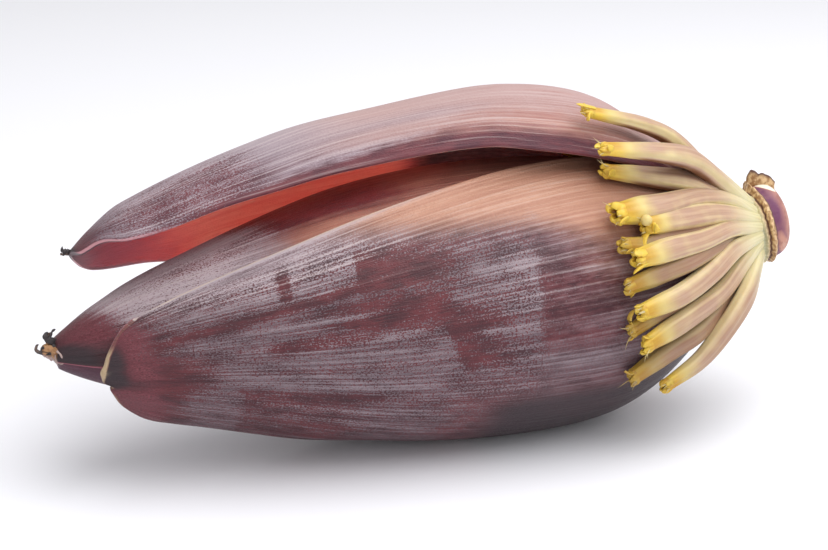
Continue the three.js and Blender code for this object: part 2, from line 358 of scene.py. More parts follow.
def bract_skin(
    name, bare, bare_dark, tan, tan_light, bloom, bloom_light,
    inner=(140, 50, 54), inner_light=(180, 80, 76), rim=(205, 120, 140),
):
    """A bract: fibrous maroon skin with tan areas, a waxy bloom in dots and streaks, a red inner side,
    painted sheen and glints, and dark marks mixed with painted shade.
    """
    n = Nodes(name)
    grain = n.attribute("grain")
    cover, tanned, dark = n.parts(n.attribute("paint"))
    inside, edge, pale_bloom_and_sheen = n.parts(n.attribute("side"))
    veil = n.parts(n.attribute("veil"))[0]
    fibres = n.streaks(grain, 1.15, 0.016, 3, 0.6)
    bands = n.streaks(grain, 0.26, 0.012)
    dots = n.streaks(grain, 2.3, 1.5, 1)
    flecks = n.streaks(grain, 1.9, 0.24)
    mottle = n.streaks(grain, 0.13, 0.07, 3)
    lines = n.step(fibres, 0.36, 0.64)

    # the skin itself: mottled maroon, tan and rosy
    skin = n.mix(n.step(n.sum(mottle, (flecks, 0.5)), 0.55, 0.95), bare_dark, bare)
    skin = n.mix(n.times(lines, 0.3), skin, bare)
    pale = n.mix(n.sum((lines, 0.55), (mottle, 0.5)), tan, tan_light)
    toned = n.step(n.sum(tanned, (bands, 0.4), (fibres, 0.3), (mottle, 0.3)), 0.6, 1.45)
    skin = n.mix(toned, skin, pale)
    rosy = n.step(n.sum((tanned, -1), (mottle, 0.5)), 0.4, 1.3)
    skin = n.mix(rosy, skin, n.mix(n.step(dots, 0.35, 0.65), (86, 32, 40), (128, 63, 73)))

    # the bloom over it: dots where it is thin, a film where it is thick, a lighter tone where pale bloom or
    # painted sheen lies, and painted glints along the fibres
    share = n.sum((cover, 0.26), (fibres, 0.3), (mottle, 0.24), (bands, 0.2), -0.105)
    grit = n.sum((dots, 0.75), (flecks, 0.25))
    dotted = n.step(n.math("SUBTRACT", share, grit), -0.02, 0.025)
    film = n.step(n.sum(share, (flecks, 0.3), -0.15), 0.33, 0.6)
    waxed = n.sum(dotted, (n.times(veil, n.math("SUBTRACT", film, dotted)), 1))
    # the wax is lighter where pale bloom lies and where sheen is painted
    lightness = n.sum(pale_bloom_and_sheen, (lines, 0.5), (mottle, 0.3), (dots, 1.2), -0.85)
    wax = n.mix(lightness, bloom, bloom_light)
    wax = n.mix(n.step(tanned, 0, 2), wax, tan_light)
    skin = n.mix(n.times(waxed, 0.9), skin, wax)
    # painted glints: pale lines along the fibres, as strong as the painted sheen
    painted_fibre_glints = n.times(n.step(fibres, 0.54, 0.66), pale_bloom_and_sheen)
    skin = n.mix(n.times(painted_fibre_glints, 0.5), skin, (206, 190, 188))
    skin = n.mix(n.times(edge, 0.85), skin, rim)

    # the inner side
    flesh = n.mix(n.step(n.sum(fibres, (flecks, 0.4)), 0.5, 0.9), inner, inner_light)
    flesh = n.mix(rosy, flesh, (160, 120, 134))
    flesh = n.mix(n.times(edge, 0.8), flesh, rim)
    skin = n.mix(inside, skin, flesh)

    # dark marks and painted shade together, from the dark channel
    marks_and_shade = n.step(n.sum(dark, (flecks, 0.5), (mottle, 0.3)), 0.6, 1.3)
    skin = n.mix(n.times(marks_and_shade, 0.88), skin, (44, 35, 41))
    glow = n.step(n.sum(0.9, (edge, -0.9), (dark, -0.9)), 0, 0.9)
    n.put(n.shader.inputs["Subsurface Weight"], n.times(inside, glow))
    return n.finish(
        skin, n.sum(0.42, (waxed, 0.3)), n.sum((fibres, 0.8), (flecks, 0.5), (dots, 0.5)), 0.42,
        Subsurface_Radius=(1.0, 0.42, 0.38), Subsurface_Scale=0.01, Specular_IOR_Level=0.4,
    )


def front_bract():
    """The big bract round the front and the underside, pressed flat where the bud lies on it."""
    midrib, base = -18, 110.5
    leaf = Leaf(length=208, girth=165, row_step=0.85, column_step=1.0)
    apex = curve(
        (-65, -87.5), (-48, -94), (-31, -97.4), (-26, -98), (-23.5, -97.6), (-21, -99.6), (-17, -100.4),
        (-5, -99.8), (6, -98.5), (23, -94.5), (32, -90),
    )(leaf.degrees(midrib, 47, 50))
    upper_edge = curve(
        (-90, 32), (-83, 38), (-75, 43.5), (-63, 49), (-51, 53), (-40, 56), (-7, 65), (14, 70.5), (35, 76),
        (65, 83), (110, 86),
    )(-90 + 200.5 * leaf.us)
    lower_reach = curve(
        (-87, 47), (-80, 62), (-65, 72), (-47, 78), (-5, 90), (37, 100), (110, 104),
    )(-87.5 + 198 * leaf.us)
    degrees = leaf.degrees(midrib, lower_reach, upper_edge - midrib)
    station = apex + (base - apex) * leaf.us

    gape = curve((-100, 7.6), (-88, 6), (-62, 2.4), (-30, 0.8), (110, 0.4))(station)
    opening = gape * np.clip(np.cos(np.radians(0.8 * (degrees + 30))), 0, 1)
    sag = 2.2 * ease(-100, -80, station) * ease(-12, -45, station) * ease(-30, -75, degrees)
    flare = 1.1 * np.exp(-leaf.from_tip / 1.6) * ease(-30, -10, degrees)
    lip = 0.8 * ease(0.93, 1, leaf.vs) * ease(0, 12, leaf.from_tip)
    relief = leaf.relief(60, 10, station, 3)
    knob = np.exp(-(((degrees + 10) / 4) ** 2) - leaf.from_tip / 1.8)
    thick = 1.5 + 0.5 * np.exp(-leaf.from_tip / 3) + 1.6 * knob
    station = station - 0.7 * knob
    radius = bud_radius(station) + 2 + opening + sag + flare + lip + relief + 1.1 * knob - thick / 2
    middle = around(station, radius, degrees)
    middle[..., 2] = np.maximum(middle[..., 2], thick / 2)
    skin = bract_skin(
        "front_skin", bare=(98, 37, 44), bare_dark=(56, 20, 30), tan=(166, 114, 94),
        tan_light=(196, 150, 126), bloom=(104, 90, 97), bloom_light=(178, 164, 170),
        inner=(144, 92, 92), inner_light=(172, 120, 112), rim=(200, 176, 140),
    )
    sheet = leaf.sheet(middle, thick, 70)
    paint = front_paint(leaf, station, degrees, knob)
    bract("front_bract", "outer_bract", "bract_front", sheet, skin, **paint)


def front_rubbed(x, a):
    """How far the front bract's bloom is rubbed off, in patches and strokes set by station and degrees."""
    ragged = 2.5 * noise(a / 3, x / 14, 52) + 5 * noise(a / 1.3, x / 40, 54)
    patches = [
        0.8 * ease(-26, -25, x) * ease(12, -8, x + ragged) * ease(24, 28, a) * ease(48, 38, a),
        0.7 * ease(-36, -22, x + 2 * ragged) * ease(3, -4, x + 0.5 * ragged)
        * ease(7, 10, a) * ease(26, 20, a),
        0.75 * ease(0, 3, x + 0.3 * a) * ease(24, 4, x + 0.2 * a + 1.5 * ragged)
        * ease(-12, -7, a) * ease(18, 12, a),
        0.6 * ease(28, 31, x + 0.3 * ragged) * ease(66, 42, x + ragged) * ease(-10, 0, a) * ease(40, 30, a),
        0.75 * stroke(x, a, (-78, 14), (-25, 29), 3.4),
        0.6 * stroke(x, a, (-50, 3), (-24, 9), 5),
        0.7 * ease(-49, -48, x) * ease(-44.5, -45.5, x) * ease(26, 29, a) * ease(46, 40, a),
        0.75 * stroke(x, a, (-60, -22), (-20, -23), 2.0),
        0.4 * ease(-23, -25, a) * ease(-62, -58, x) * ease(-20, -34, x),
        0.5 * ease(-4, 8, x + ragged) * ease(-16, -24, a),
        0.5 * spot(x, a, -76, -12, 8, 12, 0.7),
    ]
    return np.clip(sum(patches), 0, 0.85) * (0.75 + 0.35 * noise(a / 1.6, x / 25, 55))


def front_paint(leaf, x, a, knob):
    """The front bract's attributes, from the station x and the degrees a of each point."""
    vs, from_tip = leaf.vs, leaf.from_tip
    # a thin painted highlight along the upper edge of the tip half, given as wax and as sheen
    edge_highlight = ease(0.975, 0.99, vs) * ease(-96, -86, x) * ease(20, -10, x)
    tan = ease(36, 62, a + 0.12 * x) * ease(-70, 0, x) + 0.45 * ease(26, 60, x) * ease(-14, 40, a)
    tan = np.clip(tan, 0, 1)
    bloom = ease(-95, -69, x + 0.45 * np.clip(a - 12, 0, 24) + 5 * noise(a / 11, x / 9, 51)) + edge_highlight
    bloom -= front_rubbed(x, a)
    bloom -= 0.75 * tan * ease(-50, 10, x) + 0.35 * ease(20, 70, x) * ease(-10, -36, a)

    smudge = 0.95 * spot(x, a, -97.8, -3, 4.6, 16, 0.8) * ease(0.6, 1.6, from_tip)
    notch = 0.6 * spot(x, a, -96, -20, 11, 6, 0.9)
    # painted shade: the lower side towards the stem is darkened as if in the bud's own shade
    underside = ease(0, 30, x) * ease(-14, -38, a) * ease(-104, -56, a)
    dark = smudge + notch + underside
    rosy = ease(-78, -92, x + 0.1 * a + 3 * noise(a / 9, x / 9, 56)) * (1 - np.clip(dark, 0, 1))

    wander = 0.4 * noise(a / 4, 0.5, 53)
    edge = ease(1.1 + wander, 0.6 + wander, from_tip) * ease(-26, -22, a) * (0.1 + 0.9 * ease(14, 4, a))
    edge += 0.5 * ease(1.5, 0.6, from_tip) * ease(-28, -36, a) + ease(0.15, 0.5, knob)
    # painted highlight: a pale line along the upper edge
    edge += 0.5 * ease(0.985, 0.994, vs) * ease(-100, -76, x) * ease(10, -20, x)
    inner_edge = 0.8 * ease(5, 2, from_tip) * ease(18, 6, a)

    # painted sheen: the bloom is lighter towards the top, where the bract faces the lamp overhead
    light = 0.7 * ease(22, 42, a) * ease(10, -50, x) + 0.25 * ease(30, 50, a)
    light += 0.3 * spot(x, a, 40, 22, 22, 14, 0.8) + edge_highlight
    veil = tan + 0.7 * ease(36, 50, a) * ease(-20, -60, x) + 0.5 * ease(24, 36, x)
    veil += 0.3 * ease(-14, -30, a) * ease(-10, 20, x)
    return dict(
        grain=channels(vs * 62, x, 0), veil=veil, paint=channels(bloom, tan - rosy, dark),
        side=channels(0, np.clip(edge, 0, 1), light), inner_side=channels(0.6, inner_edge, 0),
    )


def upper_bract():
    """The next bract in, round the top and the back, with a pointed dark tip."""
    thick = 1.3
    leaf = Leaf(length=217, girth=170, row_step=1.1, column_step=1.4)
    near = curve((0, 106), (0.08, 108), (0.2, 114), (0.4, 120), (1, 118))(leaf.us)
    far = curve((0, 110), (0.1, 118), (1, 118))(leaf.us)
    station = -110.6 + 217.6 * leaf.us + 0 * leaf.vs
    degrees = leaf.degrees(95, near, far)
    flare = 0.7 * ease(-112, -97, station) * ease(-60, -90, station)
    radius = bud_radius(station) + flare + leaf.relief(80, 14, station, 11) - thick / 2
    middle = around(station, np.maximum(radius, 0.8), degrees)
    middle[..., 2] -= tip_droop(station)
    skin = bract_skin(
        "upper_skin", bare=(108, 46, 50), bare_dark=(70, 32, 40), tan=(148, 92, 78),
        tan_light=(174, 122, 104), bloom=(124, 110, 118), bloom_light=(186, 170, 176),
    )
    sheet = leaf.sheet(middle, thick, 85)
    paint = upper_paint(leaf, station, degrees)
    bract("upper_bract", "inner_bract", "bract_upper", sheet, skin, **paint)


def upper_paint(leaf, x, a):
    """The upper bract's attributes, from the station x and the degrees a of each point."""
    slant = x + 0.16 * (np.clip(a, 0, 100) - 64)
    bloom = 1.3 * ease(-105, -90, slant) - 1.2 * ease(-48, -28, x + 0.3 * (a - 60))
    bloom -= 0.45 * spot(x, a, -66, 72, 20, 6, 0.7) + 0.3 * ease(25, 0, a)
    bloom += 0.9 * ease(105, 130, a) * ease(-90, -60, x)
    # the second tan term is partly the bract's own orange-brown and partly painted light for red light
    # bounced under the raised bract
    tan = ease(-66, -25, x) * ease(76, 58, a + 0.12 * x) + 0.7 * ease(-20, 10, x) * ease(60, 76, a)
    rosy = ease(-78, -100, x + 3 * noise(a / 9, x / 12, 57)) * ease(120, 80, a) * ease(-5, 25, a)
    dark = 0.7 * ease(-98, -110, x + 0.08 * np.clip(a - 20, -40, 60))
    dark = (dark + 0.6 * ease(-84, -98, x) * ease(50, 12, a)) * ease(-0.985, -0.955, leaf.vs)
    edge = 0.8 * ease(-0.97, -0.99, leaf.vs) * ease(-60, -90, x)
    side = channels(0, edge, 1.15 * ease(-102, -88, slant) * ease(-40, -70, x))
    return dict(
        grain=channels(leaf.vs * 85, x, 4), veil=tan + 0.1,
        paint=channels(bloom, np.clip(tan, 0, 1) - rosy, dark), side=side, inner_side=side + (1, 0, 0),
    )


def raised_bract():
    """The outermost bract, lifted off the bud along its length, with its near edge curled in."""
    thick = 1.8
    leaf = Leaf(length=215, girth=120, row_step=0.85, column_step=0.85)
    near = curve(
        (0, 4), (0.005, 32), (0.01, 44), (0.02, 49), (0.03, 51), (0.04, 55), (0.06, 66), (0.08, 70),
        (0.12, 72), (0.18, 71), (0.27, 69), (0.37, 64), (0.47, 61.8), (0.58, 63.5), (0.66, 69), (0.81, 74),
        (0.93, 70), (1, 63),
    )(leaf.us)
    far = curve(
        (0, 4), (0.005, 29), (0.01, 44), (0.02, 61), (0.03, 69), (0.04, 73), (0.06, 76), (0.12, 79.5),
        (0.18, 84.5), (0.25, 81), (0.46, 74), (0.66, 72), (1, 76),
    )(leaf.us)
    reach = curve(
        (0, 9.5), (0.03, 14.5), (0.08, 21), (0.25, 29.4), (0.36, 35.2), (0.47, 39.2), (0.58, 41.8),
        (0.66, 42.6), (0.75, 40.8), (0.81, 37.6), (0.93, 24.4), (1, 18),
    )(leaf.us)
    lift = curve(
        (0, 17.5), (0.03, 18.3), (0.08, 19.2), (0.25, 24), (0.46, 24), (0.66, 24), (0.81, 21.5), (0.93, 11.5),
        (1, 5.5),
    )(leaf.us)
    station = -103 + 215 * leaf.us + 0 * leaf.vs
    degrees = leaf.degrees(116, near, far)
    curl = 3.2 * ease(-0.8, -1, leaf.vs) ** 1.5 * ease(40, 90, leaf.from_tip) * ease(205, 170, leaf.from_tip)
    radius = reach + leaf.relief(52, 14, station, 31) - curl - thick / 2
    middle = around(station, radius, degrees) + outward(lift, 108)
    # the inner colours are lightened as painted light shining through the bract, and the rim as painted light
    # bounced up from the floor
    skin = bract_skin(
        "raised_skin", bare=(112, 54, 62), bare_dark=(80, 40, 52), tan=(150, 98, 94),
        tan_light=(188, 144, 130), bloom=(122, 106, 117), bloom_light=(174, 160, 168),
        inner=(234, 158, 150), inner_light=(246, 182, 172), rim=(226, 166, 172),
    )
    sheet = leaf.sheet(middle, thick, 50)
    bract("raised_bract", "raised_bract", "bract_raised", sheet, skin, **raised_paint(leaf, station))


def raised_paint(leaf, x):
    """The raised bract's attributes, from the station x of each point and its place from edge to edge."""
    vs, from_tip = leaf.vs, leaf.from_tip
    bare_from = 0.03 * noise(x / 12, 0.5, 61) + 0.045 * ease(20, -30, x)
    margin = ease(-0.85, -0.95, vs + bare_from) * ease(-80, -35, x)
    bloom = 1.15 * ease(-104, -92, x) + 0.5 * ease(-62, -30, x) * ease(-0.9, -0.6, vs)
    bloom -= 1.7 * margin + 0.3 * ease(-10, 50, x) * ease(-0.6, -0.9, vs) + 0.5 * ease(-20, 50, x)
    bloom -= 0.35 * spot(x, vs, -66, -0.7, 26, 0.34, 0.6) + 0.35 * spot(x, vs, -66, 0.62, 24, 0.34, 0.6)
    tan = 0.95 * ease(-60, 0, x) * ease(-0.97, -0.8, vs) - 0.5 * ease(0.2, 0.9, vs)
    tan -= 0.5 * noise(vs * 9, x / 60, 62) * ease(-40, 0, x)
    dark = 0.9 * ease(3, 0.5, from_tip) + 0.3 * ease(0.9, 1, vs)
    edge = 0.9 * ease(-0.982, -1, vs) * ease(34, 14, from_tip)
    edge += 0.5 * ease(0.93, 1, vs) * ease(20, 8, from_tip)
    # lighter bloom at the tip, and along the middle of the top as painted sheen where it faces the lamp
    # overhead
    light = 0.5 * ease(-100, -84, x) + 0.6 * ease(-96, -50, x) * ease(-0.7, -0.3, vs) * ease(0.5, 0.1, vs)
    veil = ease(-56, -34, x) + 0.6 * ease(-0.4, -0.1, vs) * ease(-80, -60, x)

    inner_dark_and_shade = 0.6 * ease(0.97, 1, vs) * ease(20, 40, from_tip) + 0.3 * ease(3, 0.5, from_tip)
    inner_dark_and_shade += 0.5 * ease(-0.93, -0.97, vs) * ease(44, 20, from_tip)
    # dark edges and tip on the inner side, with painted shade towards the tip and past station 4
    inner_dark_and_shade = inner_dark_and_shade + 0.3 * ease(40, 10, from_tip) + 0.8 * ease(4, 30, x)
    inner_edge = 0.8 * ease(0.93, 1, vs) * ease(36, 14, from_tip) + 0.6 * ease(12, 2, from_tip)
    return dict(
        grain=channels(vs * 52, x, 14), veil=veil, paint=channels(bloom, np.clip(tan, 0, 1), dark),
        side=channels(0, edge, light), inner_paint=channels(0, -ease(60, 16, from_tip), inner_dark_and_shade),
        inner_side=channels(1, inner_edge, 0),
    )


def closed_heart():
    """The closed bud inside the bracts, of which a strip shows."""
    station = -111.5 + 215.5 * np.linspace(0, 1, 130)[:, None]
    degrees = np.linspace(0, 360, 121)[None, :]
    radius = bud_radius(station) - 2.1 + 1.3 * ease(-70, -95, station) + 0 * degrees
    radius += 0.3 * noise(degrees / 9, station / 60, 21) * ease(-100, -80, station)
    radius[0] = radius[-1] = 0.01
    middle = around(station + 0 * degrees, np.maximum(radius, 0.01), degrees)
    middle[..., 2] = np.maximum(middle[..., 2] - tip_droop(station), 3.9)
    paint = channels(0.25 + 0 * radius, 0, 0.2 * ease(-90, -104, station))
    grain = channels(degrees * 0.6, station, 9)
    skin = bract_skin(
        "heart_skin", bare=(94, 50, 66), bare_dark=(70, 40, 58), tan=(180, 120, 100),
        tan_light=(210, 160, 138), bloom=(150, 120, 140), bloom_light=(170, 140, 160),
    )
    piece(
        "heart", middle, quads(np.arange(radius.size).reshape(radius.shape)), skin, "heart", ["closed_heart"],
        grain=grain, paint=paint, side=np.zeros_like(grain), veil=np.ones(radius.size),
    )


# ---- tubes and grids ----
def turns(count):
    """Angles evenly round a circle."""
    return np.linspace(0, 2 * np.pi, count, endpoint=False)


def spline(points, count):
    """A smooth line through points, sampled evenly by their chords."""
    points = np.asarray(points, float)
    t = np.r_[0, np.cumsum(np.linalg.norm(np.diff(points, axis=0), axis=1))]
    wanted = np.linspace(0, t[-1], count)
    return np.stack([curve(*zip(t, points[:, k]))(wanted) for k in range(3)], -1)


def sweep_frame(line, away):
    """At each point of a line: the way along it, the way square to that nearest to away, and across both."""
    along = unit(np.gradient(line, axis=0))
    out = unit(away - (away * along).sum(-1, keepdims=True) * along)
    return along, out, np.cross(along, out)


class Mesh:
    """Grids and tubes gathered into one mesh, with a petal attribute and a fibre one for lines along it."""

    def __init__(self):
        self.points, self.faces, self.petal, self.fibre, self.count = [], [], [], [], 0

    def grid(self, points, petal, fibres=3.2, drift=2.5):
        """A grid closed across its rows, with about 6 * fibres lines round it."""
        n, m = points.shape[:2]
        ids = np.arange(n * m).reshape(n, m)
        turn = turns(m)[None, :]
        along = np.linspace(0, drift, n)[:, None] + self.count / 1000
        fibre = channels(fibres * np.cos(turn), fibres * np.sin(turn), along)
        self.add(points, quads(np.concatenate([ids, ids[:, :1]], 1)), petal, fibre)

    def add(self, points, faces, petal, fibre):
        self.points.append(points.reshape(-1, 3))
        self.petal.append(np.broadcast_to(petal, points.shape).reshape(-1, 3))
        self.fibre.append(fibre.reshape(-1, 3))
        self.faces.append(faces + self.count)
        self.count += points.size // 3

    def tube(self, line, radii, petal, flat=1.0, up=(0, 0, 1), sides=10):
        """A tapering rod along a line, wider than thick if flat is under 1."""
        out, across = sweep_frame(line, np.broadcast_to(np.asarray(up, float), line.shape))[1:]
        turn = turns(sides)
        cos, sin = np.cos(turn)[:, None], np.sin(turn)[:, None]
        ring = cos * out[:, None] * flat + sin * across[:, None]
        self.grid(line[:, None] + ring * np.asarray(radii)[:, None, None], petal)

    def piece(self, name, material, slot, nodes):
        piece(
            name, np.concatenate(self.points), np.concatenate(self.faces), material, slot, nodes,
            petal=np.concatenate(self.petal), fibre=np.concatenate(self.fibre),
        )


# ---- flowers ----
INNER_ROW = (6, 8, 10, 12)  # the open flowers that lie under the others
BEADED = 5  # the open flower with a pale bead at its mouth


class Flower(Mesh):
    """A flower along a path of (station, radius, degrees) from tip to root; widths are root, middle and tip.

    Its petal attribute holds the ridge (below 0 on the side that faces down, where shade is painted), the
    yellow of the tip (above 1 deep in the mouth, where shade is painted), and the share along it.
    """

    def __init__(self, path, widths, seed):
        super().__init__()
        rows, sides, flat = 46, 60, 0.8
        self.width, self.seed = widths[2], seed
        line = spline([around(*place) for place in path[::-1]], rows)
        axis = line * (1, 0, 0)
        axis[:, 2] = axis_height(line[:, 0])
        along, out, across = sweep_frame(line, line - axis)
        self.tip, self.along, self.out, self.across = line[-1], along[-1], out[-1], across[-1]
        self.turn = turns(sides)

        t, turn = np.linspace(0, 1, rows)[:, None], self.turn[None, :]
        width = curve((0, widths[0]), (0.55, widths[1]), (0.86, widths[2]), (1, widths[2] * 0.84))(t)
        blunt = 2 + 0.8 * ease(0.02, 0.3, t) * ease(1, 0.85, t)
        section = (abs(np.cos(turn)) ** blunt + abs(np.sin(turn)) ** blunt) ** (-1 / blunt)
        waves = 0.03 * noise(turn * 2.2, t * 5, seed) + 0.02 * np.sin(turn * 7 + seed) * ease(0, 0.3, t)
        crumple = 0.09 * ease(0.8, 1, t) * noise(turn * 3, t * 6, seed + 1)
        section = section * (1 + waves) * (1 + crumple)
        ring = np.cos(turn)[..., None] * out[:, None] * flat + np.sin(turn)[..., None] * across[:, None]
        body = line[:, None] + ring * (section * width / 2)[..., None]
        ridge = ease(0.1, 0.95, np.sin(turn) ** 2 + 0.25 * noise(turn * 4, t * 1.5, seed + 2))
        # painted shade: the ridge drops below 0 on the side that faces down, which the skin browns
        down = -np.cos(turn) * out[:, None, 2] - np.sin(turn) * across[:, None, 2]
        ridge = ridge - 2.2 * ease(0.2, 1.05, down - 0.6 * np.cos(turn)) * ease(1, 0.8, t)
        self.grid(body, channels(ridge, ease(0.8, 1, t), t))
        self.rim = body[-1] - self.tip

    def radial(self, degrees):
        """The way out from the tip's middle: 0 away from the bud's axis and 90 across."""
        angle = math.radians(degrees)
        return math.cos(angle) * self.out + math.sin(angle) * self.across

    def mouth(self, length, gape, lobes=5):
        """Crumpled lobes folding in at the tip to leave an opening that is a share of its width."""
        rows, depth = 14, 2.6
        turn, seed = self.turn[None, :], self.seed
        lobe = (turn / (2 * np.pi) + noise(seed * 1.7, 3.1, 5)) * lobes
        number = np.round(lobe) % lobes
        off_middle = abs(lobe - np.round(lobe)) * 2
        s = np.linspace(0, 1, rows)[:, None]
        reach = length * (1 + 0.5 * noise(number * 1.37, seed, 7)) * (1 - 0.35 * off_middle**3)
        forward = reach * np.sin(s * np.pi / 2)
        closing = 1 + 0.16 * np.sin(s * np.pi) - (1 - gape) * s**1.8
        creased = 1 - 0.3 * off_middle**4 * ease(0.05, 0.7, s) + 0.22 * noise(turn * 2.6, s * 3, seed + 3) * s
        outer = forward[..., None] * self.along + (closing * creased)[..., None] * self.rim
        s = s[:-1]
        back = (forward[-1] - depth * s)[..., None] * self.along
        inner = back + ((closing * creased)[-1] * (0.86 - 0.84 * s**3))[..., None] * self.rim
        light = np.r_[np.linspace(0.2, 1.2, rows), np.linspace(1, 0, rows - 1)][:, None]
        light = light + 0.8 * noise(turn * 5, 0.5, seed + 4)
        # glow climbs above 1 on the inner fold, where the skin paints shade
        glow = np.r_[np.full(rows, 1.0), np.linspace(1.1, 1.8, rows - 1)][:, None]
        self.grid(self.tip + np.concatenate([outer, inner]), channels(light, glow, 1))

    def tongue(self, place, length, wide, bow, sway=0.0):
        """A flat lobe that bows away from the tip and sways sideways, by degrees in all."""
        steps = 16
        radial = self.radial(place)
        sideways = np.cross(self.along, radial)
        point = self.tip + radial * self.width * 0.34 - self.along
        strip = [point]
        for s in np.linspace(0, 1, steps):
            bowed, swayed = math.radians(bow) * s**0.8, math.radians(sway) * s
            way = math.cos(bowed) * self.along + math.sin(bowed) * radial
            point = point + (way * math.cos(swayed) + sideways * math.sin(swayed)) * length / steps
            strip.append(point)
        taper = np.interp(np.linspace(0, 1, steps + 1), (0, 0.4, 0.8, 1), (0.8, 1, 0.7, 0.1))
        wave = 1 + 0.15 * noise(np.arange(steps + 1) / 2, place, self.seed)
        self.tube(np.array(strip), wide / 2 * taper * wave, (0.9, 1, 1), 0.35, radial)

    def bead(self, place, reach, wide):
        """A pale swollen end on a short stalk."""
        s = np.linspace(0, 1, 14)
        line = self.tip + self.radial(place) * self.width * 0.3 + self.along * s[:, None] * reach
        swell = np.sqrt(np.clip(1 - ((s * reach - reach + wide / 2) / (wide / 2)) ** 2, 0, 1))
        stalk = 0.45 * (s < 0.9)
        self.tube(line, np.maximum(swell * wide / 2, stalk), (1, 0.55, 1), 1, self.out, 16)

    def hairs(self, count):
        """Fine pale spikes from the mouth."""
        s = np.linspace(0, 1, 7)[:, None]
        for k in range(count):
            radial = self.radial(180 * noise(k * 3.3, self.seed, 15))
            length = 3.2 + 1.4 * noise(k * 2.3, self.seed, 17)
            start = self.tip + radial * self.width * 0.3 + self.along * 1.2
            bend = radial * s**2 * length * (0.35 + 0.5 * noise(k, self.seed, 19))
            line = start + self.along * s * length + bend
            self.tube(line, 0.3 * (1 - 0.95 * s[:, 0]), (1, 0.25, 1), 1, radial, 6)


def petals(name, painted_shade):
    """Pale waxy petals: cream ridges, pinkish facets with fine lines, a yellow tip, and painted shade in
    brown: on the side that faces down, deep in the mouth, low by the table, and over the flowers that lie
    under others.
    """
    n = Nodes(name)
    ridge, yellow, along = n.parts(n.attribute("petal"))
    place = n.place()
    fine, soft = n.cloud(place, 900), n.cloud(place, 160, 1)
    fibre = n.cloud(n.attribute("fibre"), 1)
    ripe = n.sum(yellow, (soft, 0.3))

    facet = n.mix(n.step(fibre, 0.3, 0.7), (171, 134, 114), (192, 159, 135))
    cream = n.mix(soft, (203, 182, 136), (217, 200, 156))
    lower_side_shade = n.times(n.step(ridge, 0.1, -1.3), 0.95)
    root = n.mix(n.step(fibre, 0.3, 0.7), (198, 188, 144), (216, 208, 170))
    pale = n.mix(soft, (205, 180, 108), (219, 200, 132))
    tip = n.mix(n.sum((ridge, 0.7), (fine, 0.3), (fibre, 0.6), -0.3), (192, 142, 30), (230, 196, 70))
    # painted shade: flowers lying low by the table are browned
    low = n.step(n.parts(place)[2], 0.062, 0.034)

    color = n.mix(n.step(n.sum(ridge, (soft, 0.8)), 0.3, 1.5), facet, cream)
    # painted shade on the side that faces down
    color = n.mix(lower_side_shade, color, (104, 54, 30))
    color = n.mix(n.step(along, 0.42, 0.06), color, root)
    color = n.mix(n.step(ripe, 0.05, 0.9), color, pale)
    color = n.mix(n.step(ripe, 0.7, 1.25), color, tip)
    # painted shade: dark brown deep in the mouth's inner fold
    color = n.mix(n.step(yellow, 1.15, 1.7), color, (120, 74, 18))
    color = n.mix(n.times(low, 0.2), color, (106, 70, 32))
    color = n.mix(painted_shade, color, (104, 62, 26))
    return n.finish(
        color, 0.45, n.sum((fine, 0.5), soft), 0.12, Subsurface_Weight=0.25, Subsurface_Scale=0.002,
        Subsurface_Radius=(1.0, 0.7, 0.3), Specular_IOR_Level=0.45,
    )


